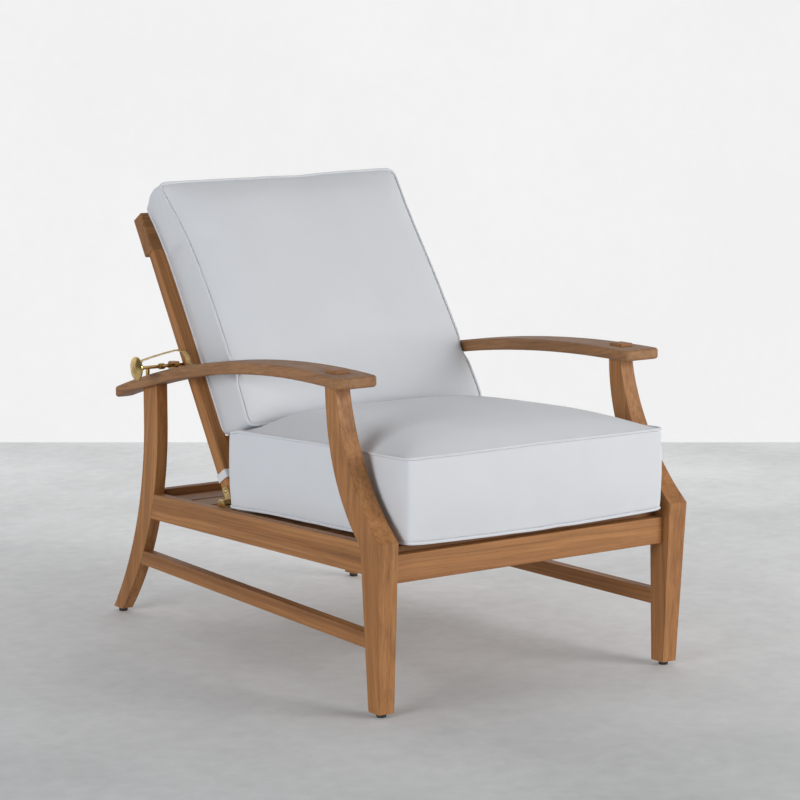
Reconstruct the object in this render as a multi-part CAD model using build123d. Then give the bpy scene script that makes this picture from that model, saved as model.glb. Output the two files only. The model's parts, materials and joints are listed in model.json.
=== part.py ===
from build123d import *
import os
from math import asin, cos, hypot, pi, radians, sin, sqrt, tan

# Outdoor recliner in teak with two loose cushions. Lengths are in millimetres and angles in degrees.
# Y is first measured from a datum above the seat, with the sitter facing -Y, and every piece is moved
# at the end so that the chair stands on the middle of its own outline.

# The seat cushion sets the width: the front legs stand clear of it and the rest is placed from them
seat_half_width = 297.6
seat_side_gap = 16.1
leg_inner = seat_half_width + seat_side_gap
leg_toe_in = 34.7
rear_leg_inner = leg_inner - leg_toe_in

# Front legs: a tapered foot, a sharp knee in front and a swept upper half that runs up into the arm
foot_width = 32.0
foot_depth = 34.0
foot_setback = 13.2
knee_width = 42.1
knee_depth = 56.8
knee_front = -373.2
foot_front = knee_front + foot_setback
knee_height = 317.4
knee_fall = 11.6
neck_width = 30.9
neck_depth = 34.5
neck_front = -224.3
neck_height = 570.0
front_sweep = 25.0
rear_sweep = 30.5

# Rear legs: flat boards with a sabre curve
rear_leg_thickness = 24.0
post_front = 480.0
post_depth = 54.0
post_bend_rear = 400.0
post_bend_front = 420.0
heel_rear = 670.0
heel_depth = 35.0
sabre_rear = 31.0
sabre_front = 40.0

# Glides under the feet
glide_radius = 9.0
glide_height = 8.4
glide_edge = 1.6
glide_pin_radius = 2.4
glide_pin_length = 14.0
front_glide_y = foot_front + foot_depth / 2
rear_glide_y = heel_rear - heel_depth / 2

# Arms: a long arc seen from the side, thinner to the rear
arm_crown = 601.8
arm_crown_y = -170.0
arm_top_radius = 2620.0
arm_belly = 580.0
arm_belly_y = -200.0
arm_belly_radius = 2800.0
arm_front = -272.0
arm_rear = 635.0
arm_front_overhang = 60.8
arm_rear_overhang = 36.5
arm_front_lip = 29.7
arm_rear_lip = 6.0
arm_front_outer = leg_inner + arm_front_overhang
arm_rear_outer = rear_leg_inner + arm_rear_overhang
arm_front_inner = leg_inner - arm_front_lip
arm_rear_inner = rear_leg_inner - arm_rear_lip
arm_outer_waist = 6.5
arm_inner_waist = 3.5
arm_corner = 13.0
arm_round = 5.5

# Through tenon of the front leg and the plug that caps it
tenon_shoulder = 4.0
tenon_short = 1.5
plug_height = 5.0
plug_inset = 0.9
plug_round = 2.4

# Seat rails and stretchers
seat_tilt = 2.6
seat_height = 293.1
rail_thickness = 22.0
rail_front_depth = 57.0
rail_rear_depth = 52.0
rail_front_y = -317.0
rail_rear_y = 500.0
rail_reach = 14.0
rear_rail_reach = 7.0
stretcher_reach = 10.0
rail_tongue = 9.0
rail_tongue_shoulder = 9.0
front_rail_face = -355.0
front_rail_thickness = 24.0
front_rail_top = 291.0
front_rail_depth = 51.0
rear_rail_face = 503.0
rear_rail_thickness = 22.0
rear_rail_top = 277.0
rear_rail_depth = 50.0
stretcher_bottom = 117.0
stretcher_depth = 29.0
stretcher_rear_y = 545.0
edge_round = 1.5
end_round = 2.5

# Seat deck: slats across the chair on two cleats
slat_count = 10
slat_gap = 9.0
slat_thickness = 12.0
slat_drop = 7.0
slat_play = 1.0
deck_front = front_rail_face + front_rail_thickness + slat_play
deck_rear = 494.0
cleat_width = 18.0
cleat_depth = 20.0

# Screws
screw_head_radius = 3.6
screw_head_height = 2.2
screw_shank_radius = 1.8
screw_length = 14.0

# Back frame: two stiles that lean to the rear, a head rail over them, a lower rail and upright slats
lean = 31.9
stile_leg_gap = 10.0
stile_outer = rear_leg_inner - stile_leg_gap
stile_width = 28.0
stile_foot_y = 277.5
stile_foot_z = 289.0
stile_length = 543.0
stile_foot_depth = 31.0
stile_top_depth = 23.0
stile_tongue = 18.0
head_height = 86.0
head_thickness = 34.0
head_setback = 3.0
head_overhang = 2.0
head_round = 3.0
lower_rail_start = 62.0
lower_rail_height = 62.0
lower_rail_thickness = 20.0
back_slat_count = 5
back_slat_width = 52.0
back_slat_thickness = 10.0
back_slat_tongue = 8.0

# Hinge at the foot of each stile
pivot_drop = 12.0
pivot_out = 14.0
pin_radius = 4.0
pin_play = 0.05
pin_head_radius = 5.4
pin_head = 2.0
leaf_thickness = 3.0
leaf_width = 20.0
leaf_length = 22.0
leaf_screw_shares = (0.6,)
eye_radius = 9.0
leaf_play = 0.4
boss_radius = 8.0
bracket_width = 36.0
bracket_height = 40.0
bracket_thickness = 3.0
bracket_shoulder = 2.0

# Recline hardware on the rear of each arm
rack_inset = 18.0
rack_x = arm_rear_inner + rack_inset
rack_start = 394.0
rack_end = 546.0
rack_screw_y = 400.5
rack_width = 14.0
rack_thickness = 3.0
notch_count = 5
notch_radius = 5.0
notch_sink = 1.4
bar_radius = 3.5
bar_y = 438.4
bar_lift = 9.8
bar_overhang = 83.0
bar_end = rack_x + bar_overhang
bar_end_y = 518.4
shoe_width = 11.0
shoe_radius = 9.0
shoe_tail = 15.0
shoe_tail_radius = 5.9
shoe_slot_radius = 2.6
disc_radius = 23.0
disc_rim = 2.6
disc_dome = 4.5
hub_length = 15.0
hub_radius = 5.6
flare_run = 6.0
flare_radius = 11.0
flare_sag = 1.4
collar_offset = 25.0
collar_x = rack_x + collar_offset
collar_length = 12.0
collar_radius = 6.0
post_y = 536.5
post_radius = 4.2
post_height = 14.0
strap_width = 8.0
strap_gauge = 2.8
strap_front = 372.0
strap_rear = 586.0
strap_rise = 38.0
strap_foot = 16.0
strap_front_run = 48.0
strap_rear_run = 20.0
strap_bend = 14.0
strap_play = 0.15

# Cushions
seat_front = -377.0
seat_rear = 228.0
seat_side_height = 150.0
seat_lift = 10.0
seat_crown = 44.0
seat_draw = 7.0
seat_corner = 12.0
back_side_inset = 14.1
back_half_width = seat_half_width - back_side_inset
back_rear_inset = 52.6
back_rear_half_width = seat_half_width - back_rear_inset
back_sill_y = 152.0
back_sill_z = 451.0
back_sill_fall = 46.0
back_face_tilt = 35.6
back_face_length = 556.0
back_top_depth = 134.0
back_top_fall = 44.0
back_crown = 24.0
back_end_crown = 9.0
back_sill_crown = 5.0
back_draw = 18.0
back_side_crown = 5.0
back_corner = 26.0
soft_gap = 0.5
crown_shares = (-1.0, -0.9, -0.7, -0.4, 0.0, 0.4, 0.7, 0.9, 1.0)
flat_share = 0.02
strap_shares = (0.33, 0.67)
strap_turn_shares = (0.33, 0.67, 1.0)

# Tie that loops the foot of each stile
tie_start = 36.0
tie_height = 17.0
tie_gauge = 1.6

# Larger than the chair, for cutting
reach_out = 900.0


# The camber of the arm, read at any Y
def arm_top(y):
    return arm_crown - arm_top_radius + sqrt(arm_top_radius ** 2 - (y - arm_crown_y) ** 2)


def arm_under(y):
    return arm_belly - arm_belly_radius + sqrt(arm_belly_radius ** 2 - (y - arm_belly_y) ** 2)


def camber(height, y_from, y_to, rise=0):
    stations = (y_from, (y_from + y_to) / 2, y_to)
    return ThreePointArc(*[(y, height(y) + rise) for y in stations])


# Height of the side rails' top edge, and of the deck that follows it
def rail_top(y):
    return seat_height - y * tan(radians(seat_tilt))


# Outer face of the toed-out side boards, flush with the rear leg and inside the front leg
def board_outer(y, rear_y):
    share = (rear_y - y) / (rear_y - rail_front_y)
    rear = rear_leg_inner + rear_leg_thickness
    return rear + share * (leg_inner + rail_thickness - rear)


def board_inner(y):
    return board_outer(y, rail_rear_y) - rail_thickness


# An arc between two points that swells to the right of the way from the first to the second
def bow(start, end, sag):
    (a, b), (c, d) = start, end
    span = hypot(c - a, d - b)
    middle = ((a + c) / 2 + sag * (d - b) / span, (b + d) / 2 + sag * (a - c) / span)
    return ThreePointArc(start, middle, end)


def upright(edges, x_from, x_to):
    return extrude(Plane.YZ.offset(x_from) * make_face(edges), x_to - x_from, dir=(1, 0, 0))


def loop(points):
    return Polyline(*points, close=True)


# A board on edge that follows the toe of the side rails, between two depths behind its outer face
def toed(edges, near, far, rear_y):
    plan = [(board_outer(y, rear_y) - depth, y)
            for y, depth in ((-reach_out, near), (reach_out, near), (reach_out, far), (-reach_out, far))]
    block = upright(edges, 0, reach_out)
    return block & extrude(make_face(loop(plan)), reach_out, dir=(0, 0, 1))


def above_arm_under():
    top = [(reach_out, reach_out), (-reach_out, reach_out)]
    arc = camber(arm_under, -reach_out, reach_out)
    return upright([arc, Polyline(arc @ 1, *top, arc @ 0)], 0, reach_out)


def pair(name, shape, nodes):
    nodes[name + "_right"] = shape
    nodes[name + "_left"] = mirror(shape, Plane.YZ)


def both(shapes):
    return Compound([s for shape in shapes for s in (*shape.solids(), *mirror(shape, Plane.YZ).solids())])


def without(shape, *tools):
    for tool in tools:
        shape -= tool
    return shape


# Round-headed screw at a point, driven along a direction
def screw(point, direction, head=screw_head_radius):
    place = Plane(origin=point, z_dir=direction)
    shank = Pos(0, 0, screw_length / 2) * Cylinder(screw_shank_radius, screw_length)
    cap = (head ** 2 + screw_head_height ** 2) / (2 * screw_head_height)
    dome = Pos(0, 0, cap - screw_head_height) * Sphere(cap)
    dome &= Pos(0, 0, -screw_head_height) * Box(2 * cap, 2 * cap, 2 * screw_head_height)
    return place * (shank + dome)


# Countersunk screw whose head lies flush
def sunk_screw(point, direction):
    place = Plane(origin=point, z_dir=direction)
    shank = Pos(0, 0, screw_length / 2) * Cylinder(screw_shank_radius, screw_length)
    head = Pos(0, 0, screw_head_height / 2) * Cone(screw_head_radius, screw_shank_radius, screw_head_height)
    return place * (shank + head)


def make_front_leg():
    knee_rear = (knee_front + knee_depth, knee_height - knee_fall)
    foot_rear = (foot_front + foot_depth, glide_height)
    neck_rear = (neck_front + neck_depth, neck_height)
    over = (neck_front, arm_crown), (neck_front + neck_depth, arm_crown)
    side = [
        Line((foot_front, glide_height), (knee_front, knee_height)),
        bow((knee_front, knee_height), (neck_front, neck_height), front_sweep),
        Polyline((neck_front, neck_height), *over, neck_rear),
        bow(knee_rear, neck_rear, rear_sweep),
        Polyline(knee_rear, foot_rear, (foot_front, glide_height)),
    ]
    blank = upright(side, leg_inner, leg_inner + knee_width)
    # The outer face bends along a crease that falls to the rear
    knee = (leg_inner + knee_width, knee_height)
    slope = knee_fall / knee_depth
    origin = (0, knee_front - knee_depth, knee_depth * slope)
    start = Plane(origin=origin, x_dir=(1, 0, 0), z_dir=(0, -1, 0))
    face = start * make_face(loop([
        (leg_inner, -knee_height), (leg_inner + foot_width, glide_height), knee,
        (leg_inner + neck_width, neck_height), (leg_inner + neck_width, reach_out),
        (leg_inner, reach_out)]))
    return blank & extrude(face, reach_out, dir=(0, 1, -slope))


def make_tenon(top):
    x = (leg_inner + tenon_shoulder, leg_inner + neck_width - tenon_shoulder)
    y = (neck_front + tenon_shoulder, neck_front + neck_depth - tenon_shoulder)
    floor = arm_belly - neck_depth
    middle = Pos((x[0] + x[1]) / 2, (y[0] + y[1]) / 2, (floor + top) / 2)
    return middle * Box(x[1] - x[0], y[1] - y[0], top - floor)


def make_plug():
    rear = neck_front + neck_depth
    seat = camber(arm_top, neck_front, rear)
    top = [(rear, arm_crown + plug_height), (neck_front, arm_crown + plug_height)]
    side = [seat, Polyline(seat @ 1, *top, seat @ 0)]
    plug = upright(side, leg_inner + plug_inset, leg_inner + neck_width)
    crown = plug.faces().sort_by(Axis.Z)[-1].edges()
    return fillet(crown + plug.edges().filter_by(Axis.Z), plug_round)


def make_rear_leg():
    post_rear = post_front + post_depth
    heel_front = heel_rear - heel_depth
    side = [
        bow((post_rear, post_bend_rear), (heel_rear, glide_height), sabre_rear),
        Line((heel_rear, glide_height), (heel_front, glide_height)),
        bow((post_front, post_bend_front), (heel_front, glide_height), sabre_front),
        Polyline((post_front, post_bend_front), (post_front, arm_crown), (post_rear, arm_crown),
                 (post_rear, post_bend_rear)),
    ]
    return upright(side, rear_leg_inner, rear_leg_inner + rear_leg_thickness)


def make_arm():
    top = camber(arm_top, arm_front, arm_rear)
    under = camber(arm_under, arm_front, arm_rear)
    side = [top, under, Line(top @ 0, under @ 0), Line(top @ 1, under @ 1)]
    front = (arm_front_inner, arm_front), (arm_front_outer, arm_front)
    rear = (arm_rear_inner, arm_rear), (arm_rear_outer, arm_rear)
    plan = [
        bow(front[1], rear[1], -arm_outer_waist), Line(rear[1], rear[0]),
        bow(front[0], rear[0], -arm_inner_waist), Line(front[0], front[1]),
    ]
    outline = make_face(plan)
    outline = fillet(outline.vertices(), arm_corner)
    arm = upright(side, 0, reach_out) & extrude(outline, reach_out, dir=(0, 0, 1))
    broad = arm.faces().sort_by(SortBy.AREA)[-2:]
    return fillet(broad[0].edges() + broad[1].edges(), arm_round)


def side_rail_outline(inset=0):
    front, rear = -reach_out / 2, reach_out
    depth = (rail_front_depth - rail_rear_depth) / (rail_rear_y - rail_front_y)
    points = []
    for y in (front, rear):
        points.append((y, rail_top(y) - inset))
    for y in (rear, front):
        points.append((y, rail_top(y) - rail_rear_depth - depth * (rail_rear_y - y) + inset))
    return loop(points)


def stretcher_outline(inset=0):
    low, high = stretcher_bottom + inset, stretcher_bottom + stretcher_depth - inset
    return loop([(-reach_out / 2, low), (reach_out, low), (reach_out, high), (-reach_out / 2, high)])


# The tongue of a side board runs this far into the front and the rear leg
def tongue(outline, rear_y, front, rear):
    near = (rail_thickness - rail_tongue) / 2
    bar = toed(outline, near, near + rail_tongue, rear_y)
    middle = (front + rear) / 2
    return bar & (Pos(reach_out / 2, middle, 0) * Box(reach_out, rear - front, reach_out * 2))


def make_side_board(outline, inner_outline, rear_y, legs, front, rear):
    board = toed(outline, 0, rail_thickness, rear_y)
    span = Pos(reach_out / 2, (front + rear) / 2, 0) * Box(reach_out, rear - front, reach_out * 2)
    board = (board & span) - legs[0] - legs[1]
    board = board.solids().sort_by(SortBy.AREA)[-1]
    long = [e for e in board.edges() if e.length > (rear - front) / 2]
    board = fillet(long, edge_round)
    key = tongue(inner_outline, rear_y, front, rear)
    return board + key, key


def make_cross_rail(half_span, face, thickness, top, depth, reach):
    rail = Pos(0, face + thickness / 2, top - depth / 2) * Box(2 * half_span, thickness, depth)
    rail = fillet(rail.edges().filter_by(Axis.X), end_round)
    height = depth - 2 * rail_tongue_shoulder
    key = Pos(0, face + thickness / 2, top - depth / 2) * Box(2 * (half_span + reach), rail_tongue, height)
    return rail + key, key


# Points of the deck plane, and a slat or cleat section laid along it
def deck_outline(y_from, y_to, top, depth):
    lean_in = depth * tan(radians(seat_tilt))
    low_from, low_to = y_from - lean_in, y_to - lean_in
    return loop([(y_from, rail_top(y_from) - top), (y_to, rail_top(y_to) - top),
                 (low_to, rail_top(low_to) - top - depth), (low_from, rail_top(low_from) - top - depth)])


def make_slats():
    pitch = (deck_rear - deck_front + slat_gap) / slat_count
    plan = [(board_inner(y) - slat_play, y) for y in (deck_front - slat_gap, deck_rear + slat_gap)]
    plan += [(-x, y) for x, y in reversed(plan)]
    room = extrude(make_face(loop(plan)), reach_out, dir=(0, 0, 1))
    slats = []
    for number in range(slat_count):
        start = deck_front + number * pitch
        block = upright(deck_outline(start, start + pitch - slat_gap, slat_drop, slat_thickness),
                        -reach_out, reach_out)
        slat = block & room
        across = [e for e in slat.edges() if e.length > rail_front_depth * 2]
        slats.append(fillet(across, edge_round))
    return slats, pitch


def make_glides():
    feet = [(leg_inner + foot_width / 2, front_glide_y),
            (rear_leg_inner + rear_leg_thickness / 2, rear_glide_y)]
    glides = []
    for x, y in feet:
        puck = Pos(x, y, glide_height / 2) * Cylinder(glide_radius, glide_height)
        puck = fillet(puck.edges().sort_by(Axis.Z)[0], glide_edge)
        pin = Pos(x, y, glide_height + glide_pin_length / 2) * Cylinder(glide_pin_radius, glide_pin_length)
        glides.append(puck + pin)
    return glides


# Frame of the back: X across, Y up the rear face of the stiles and Z to the front of the chair
back_plane = Plane(origin=(0, stile_foot_y, stile_foot_z), x_dir=(1, 0, 0),
                   z_dir=(0, -cos(radians(lean)), sin(radians(lean))))


def back_point(up, out):
    point = back_plane.from_local_coords(Vector(0, up, out))
    return point.Y, point.Z


pivot_y, pivot_z = back_point(-pivot_drop, pivot_out)


def stile_depth(up):
    return stile_foot_depth + (stile_top_depth - stile_foot_depth) * up / stile_length


def back_block(x_from, x_to, up_from, up_to, out_from, out_to):
    middle = Pos((x_from + x_to) / 2, (up_from + up_to) / 2, (out_from + out_to) / 2)
    return back_plane * (middle * Box(x_to - x_from, up_to - up_from, out_to - out_from))


# A board behind the front of the stiles, set back from it
def behind_front(up_from, up_to, x_from, x_to, thickness, setback=0):
    front = [(up, stile_depth(up) - setback) for up in (up_from, up_to)]
    outline = [back_point(up, out) for up, out in front]
    outline += [back_point(up, out - thickness) for up, out in reversed(front)]
    return upright(loop(outline), x_from, x_to)


def make_stile():
    outline = [back_point(0, 0), back_point(stile_length, 0), back_point(stile_length, stile_top_depth),
               back_point(0, stile_foot_depth)]
    stile = upright(loop(outline), stile_outer - stile_width, stile_outer)
    long = [e for e in stile.edges() if e.length > stile_length / 2]
    stile = fillet(long, edge_round)
    shoulder = stile_width / 4
    key = back_block(stile_outer - stile_width + shoulder, stile_outer - shoulder, stile_length - shoulder,
                     stile_length + stile_tongue, shoulder, stile_top_depth - shoulder)
    return stile + key, key


def make_head():
    half = stile_outer + head_overhang
    front = stile_top_depth - head_setback
    head = back_block(-half, half, stile_length, stile_length + head_height, front - head_thickness, front)
    return fillet(head.edges(), head_round)


def make_back_panel():
    inner = stile_outer - stile_width
    top = lower_rail_start + lower_rail_height
    lower = behind_front(lower_rail_start, top, -inner, inner, lower_rail_thickness)
    lower = fillet([e for e in lower.edges() if e.length > inner], edge_round)
    gap = (2 * inner - back_slat_count * back_slat_width) / (back_slat_count + 1)
    slats = []
    for number in range(back_slat_count):
        x = -inner + gap + number * (back_slat_width + gap)
        # The tongues at both ends run into the rails
        slat = behind_front(top - back_slat_tongue, stile_length + back_slat_tongue, x, x + back_slat_width,
                            back_slat_thickness, head_setback + edge_round)
        slat = fillet([e for e in slat.edges() if e.length > stile_length / 2], edge_round)
        slats.append(slat)
    return lower, slats


def make_leaf():
    # Plate on the outer face of the stile, with an eye round the pin at its lower end
    x = stile_outer
    middle = (stile_depth(0) - leaf_width) / 2
    plate = back_block(x, x + leaf_thickness, 0, leaf_length, middle, middle + leaf_width)
    axis = Plane(origin=(x, pivot_y, pivot_z), z_dir=(1, 0, 0))
    eye = axis * extrude(Circle(eye_radius), leaf_thickness)
    outline = loop([back_point(0, middle), back_point(0, middle + leaf_width),
                    (pivot_y - eye_radius, pivot_z), (pivot_y + eye_radius, pivot_z)])
    web = upright(outline, x, x + leaf_thickness)
    hole = axis * Cylinder(pin_radius + pin_play, reach_out)
    return plate + eye + web - hole


def bracket_outline(grow=0):
    # Wide below the top of the side rail, then narrowing to the lug that holds the pin
    low = rail_top(pivot_y) - bracket_height - grow
    shoulder = rail_top(pivot_y) - bracket_shoulder + grow
    high = pivot_z + boss_radius + grow
    half, lug = bracket_width / 2 + grow, boss_radius + grow
    return loop([(pivot_y - half, low), (pivot_y + half, low), (pivot_y + half, shoulder),
                 (pivot_y + lug, high), (pivot_y - lug, high), (pivot_y - half, shoulder)])


def make_bracket():
    # Plate on the inner face of the side rail, with a boss and a pin that points inwards
    plate = toed(bracket_outline(), rail_thickness, rail_thickness + bracket_thickness, rail_rear_y)
    axis = Plane(origin=(0, pivot_y, pivot_z), z_dir=(1, 0, 0))
    wall = board_inner(pivot_y) - bracket_thickness / 2
    start = stile_outer + leaf_thickness + leaf_play
    boss = axis.offset(start) * extrude(Circle(boss_radius), wall - start)
    start = stile_outer - leaf_play
    pin = axis.offset(start) * extrude(Circle(pin_radius), wall - start)
    cap = axis.offset(start - pin_head) * extrude(Circle(pin_head_radius), pin_head)
    room = toed(bracket_outline(bracket_width), rail_thickness - bracket_width, rail_thickness, rail_rear_y)
    return (plate + boss + pin + cap) - room


def bracket_screws():
    low = rail_top(pivot_y) - bracket_height
    across, up = bracket_width / 4, bracket_height / 4
    spots = [(pivot_y - across, low + up), (pivot_y + across, low + up), (pivot_y, low + 2 * up)]
    return [sunk_screw((board_inner(y) - bracket_thickness, y, z), (1, 0, 0)) for y, z in spots]


def leaf_screws():
    spots = [back_point(leaf_length * share, stile_depth(0) / 2) for share in leaf_screw_shares]
    return [screw((stile_outer + leaf_thickness, y, z), (-1, 0, 0)) for y, z in spots]


def rack_outline(y_from, y_to, thickness):
    under = camber(arm_top, y_from, y_to)
    over = camber(arm_top, y_from, y_to, thickness)
    return [under, over, Line(under @ 0, over @ 0), Line(under @ 1, over @ 1)]


def make_rack():
    half = rack_width / 2
    rack = upright(rack_outline(rack_start, rack_end, rack_thickness), rack_x - half, rack_x + half)
    step = (bar_end_y - bar_y) / (notch_count - 1)
    for number in range(notch_count):
        y = bar_y + number * step
        z = arm_top(y) + rack_thickness + notch_radius - notch_sink
        rack -= Plane(origin=(rack_x, y, z), z_dir=(1, 0, 0)) * Cylinder(notch_radius, rack_width * 2)
    return rack


def make_post():
    foot = arm_top(post_y) - post_height / 2
    height = post_height * 3 / 2 + rack_thickness
    post = Pos(rack_x, post_y, foot + height / 2) * Cylinder(post_radius, height)
    return fillet(post.edges().sort_by(Axis.Z)[-1], post_radius / 2)


def make_strap():
    # A flat strip on two feet, parallel to the arm between them, with a rounded front
    rest = strap_gauge / 2 + strap_play
    level = (strap_front + strap_front_run, strap_rear - strap_rear_run)
    run = level[1] - level[0]
    spots = [(strap_front - strap_foot, rest), (strap_front, rest)]
    for turn in [pi / 2 * share for share in strap_turn_shares]:
        spots.append((level[0] - strap_front_run * cos(turn), rest + (strap_rise - rest) * sin(turn)))
    spots += [(level[0] + run * share, strap_rise) for share in strap_shares]
    spots += [(level[1], strap_rise), (strap_rear, rest), (strap_rear + strap_foot, rest)]
    path = Plane.YZ * FilletPolyline(*[(y, arm_top(y) + rise) for y, rise in spots], radius=strap_bend)
    section = Plane(origin=path @ 0, x_dir=(1, 0, 0), z_dir=path % 0) * Rectangle(strap_width, strap_gauge)
    return Pos(rack_x, 0, 0) * sweep(section, path=path)


def surface_direction(y):
    return (0, -(y - arm_crown_y), -arm_top_radius)


def rack_screws():
    spots = [(rack_screw_y, rack_thickness), (strap_front - strap_foot / 2, strap_gauge + strap_play),
             (strap_rear + strap_foot / 2, strap_gauge + strap_play)]
    return [screw((rack_x, y, arm_top(y) + rise), surface_direction(y)) for y, rise in spots]


# The bar that the stiles lean on, with its ends; it slides along the racks
bar_z = arm_top(bar_y) + bar_lift
bar_drop = bar_z - arm_top(bar_end_y) - bar_lift


def bar_axis(x):
    return Plane(origin=(x, bar_y, bar_z), x_dir=(0, bar_end_y - bar_y, -bar_drop), z_dir=(1, 0, 0))


def make_bar():
    return bar_axis(-bar_end) * extrude(Circle(bar_radius), 2 * bar_end)


def make_shoe():
    body = Circle(shoe_radius) + Pos(-shoe_tail, 0) * Circle(shoe_tail_radius)
    body += make_face(loop([(0, shoe_radius), (-shoe_tail, shoe_tail_radius),
                            (-shoe_tail, -shoe_tail_radius), (0, -shoe_radius)]))
    body -= Pos(-shoe_tail, 0) * Circle(shoe_slot_radius)
    # The underside is flat where it rides on the rack
    body &= Pos(-shoe_tail, shoe_radius) * Rectangle(reach_out, 2 * (shoe_radius + shoe_tail_radius))
    body -= Circle(bar_radius)
    shoe = bar_axis(rack_x - shoe_width / 2) * extrude(body, shoe_width)
    return shoe


def make_disc():
    # Half profile about the bar: hub, flare, rim and domed face
    flare_start = (-disc_rim - flare_run, hub_radius)
    cap = (disc_radius ** 2 + disc_dome ** 2) / (2 * disc_dome)
    half_angle = asin(disc_radius / cap) / 2
    dome_middle = (disc_dome - cap + cap * cos(half_angle), cap * sin(half_angle))
    profile = [
        Polyline((0, 0), (0, bar_radius), (-hub_length, bar_radius), (-hub_length, hub_radius),
                 flare_start),
        bow(flare_start, (-disc_rim, flare_radius), flare_sag),
        Polyline((-disc_rim, flare_radius), (-disc_rim, disc_radius), (0, disc_radius)),
        ThreePointArc((0, disc_radius), dome_middle, (disc_dome, 0)),
        Line((disc_dome, 0), (0, 0)),
    ]
    disc = revolve(make_face(profile), Axis.X)
    return Pos(bar_end, bar_y, bar_z) * disc


def make_collar():
    section = Circle(collar_radius) - Circle(bar_radius)
    ring = bar_axis(collar_x - collar_length / 2) * extrude(section, collar_length)
    middle = (bar_radius + collar_radius) / 2
    rims = [e for e in ring.edges().filter_by(GeomType.CIRCLE) if e.radius > middle]
    return fillet(rims, (collar_radius - bar_radius) / 2)


# One section of a cushion, four corners in turn, whose edges swell by the given crowns
def cushion_section(x, corners, crowns):
    edges = []
    for start, end, crown in zip(corners, corners[1:] + corners[:1], crowns):
        edges.append(bow(start, end, crown) if crown else Line(start, end))
    return Plane.YZ.offset(x) * make_face(edges)


def cushion_body(half_width, corners, crowns):
    sections = []
    for share in crown_shares:
        swell = max(flat_share, 1 - share ** 4)
        sections.append(cushion_section(share * half_width, corners, [c * swell for c in crowns]))
    return loft(sections)


def make_seat_cushion():
    def bottom(y):
        return rail_top(y) - slat_drop + seat_lift

    front, rear = seat_front, seat_rear
    corners = [(front, bottom(front)), (rear, bottom(rear)), (rear, bottom(rear) + seat_side_height),
               (front, bottom(front) + seat_side_height)]
    body = cushion_body(seat_half_width, corners, [seat_lift - soft_gap, 0, seat_crown, 0])
    # Sides that are drawn in between the corners
    half = seat_half_width
    plan = [(-half, front), (half, front), (half, rear), (-half, rear)]
    sides = [bow(a, b, -seat_draw) for a, b in zip(plan, plan[1:] + plan[:1])]
    outline = make_face(sides)
    outline = fillet(outline.vertices(), seat_corner)
    body &= extrude(outline, reach_out, dir=(0, 0, 1))
    # The rear of the top is pressed down by the back cushion
    sill = [(y, z - back_sill_crown - soft_gap) for y, z in (back_corners()[1], back_corners()[0])]
    press = [sill[0], sill[1], (reach_out, sill[1][1]), (reach_out, reach_out),
             (sill[0][0] - back_end_crown - reach_out / 2, sill[0][1] + reach_out / 2)]
    return body - upright(loop(press), -reach_out, reach_out)


# Corners of the back cushion: rear and front of its foot, then front and rear of its top
def back_corners():
    tilt = radians(back_face_tilt)
    front_low = (back_sill_y, back_sill_z)
    front_high = (back_sill_y + back_face_length * sin(tilt), back_sill_z + back_face_length * cos(tilt))
    foot, head = back_point(0, stile_foot_depth), back_point(stile_length, stile_top_depth)
    slope = (head[0] - foot[0]) / (head[1] - foot[1])
    rear_z = back_sill_z - back_sill_fall
    rear_low = (foot[0] + (rear_z - foot[1]) * slope, rear_z)
    # The top edge falls to the rear and ends on the front of the stiles
    high_z = front_high[1] - back_top_fall
    rear_high = (foot[0] + (high_z - foot[1]) * slope, high_z)
    return [rear_low, front_low, front_high, rear_high]


def make_back_cushion():
    corners = back_corners()
    crowns = [-back_sill_crown, -back_crown, -back_end_crown, 0]
    body = cushion_body(back_half_width, corners, crowns)
    low = back_plane.to_local_coords(Vector(0, *corners[1])).Y
    high = back_plane.to_local_coords(Vector(0, *corners[2])).Y + back_end_crown
    half = back_half_width
    side = bow((half, low), (half, high), -back_draw)
    other = bow((-half, low), (-half, high), back_draw)
    outline = make_face([side, other, Line((-half, low), (half, low)), Line((-half, high), (half, high))])
    outline = fillet(outline.vertices().sort_by(Axis.Y)[-2:], back_corner)
    body &= back_plane * extrude(outline, reach_out / 2, both=True)
    return body & back_sides()


# The sides of the back cushion slant in to its narrower rear panel
def back_sides():
    plan_plane = Plane(origin=back_plane.origin, x_dir=(-1, 0, 0), z_dir=back_plane.y_dir)
    near, far = stile_top_depth, stile_top_depth + back_top_depth
    rear, front = back_rear_half_width, back_half_width
    plan = [
        bow((rear, near), (front, far), back_side_crown),
        Polyline((front, far), (front, reach_out), (-front, reach_out), (-front, far)),
        bow((-front, far), (-rear, near), back_side_crown),
        Polyline((-rear, near), (-rear, -reach_out), (rear, -reach_out), (rear, near)),
    ]
    return extrude(plan_plane * make_face(plan), reach_out, both=True)


def make_tie():
    # A flat tape closed round the stile, above its hinge leaf
    return back_block(stile_outer - stile_width - tie_gauge, stile_outer + tie_gauge,
                      tie_start, tie_start + tie_height, -tie_gauge, stile_foot_depth + tie_gauge)


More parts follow.
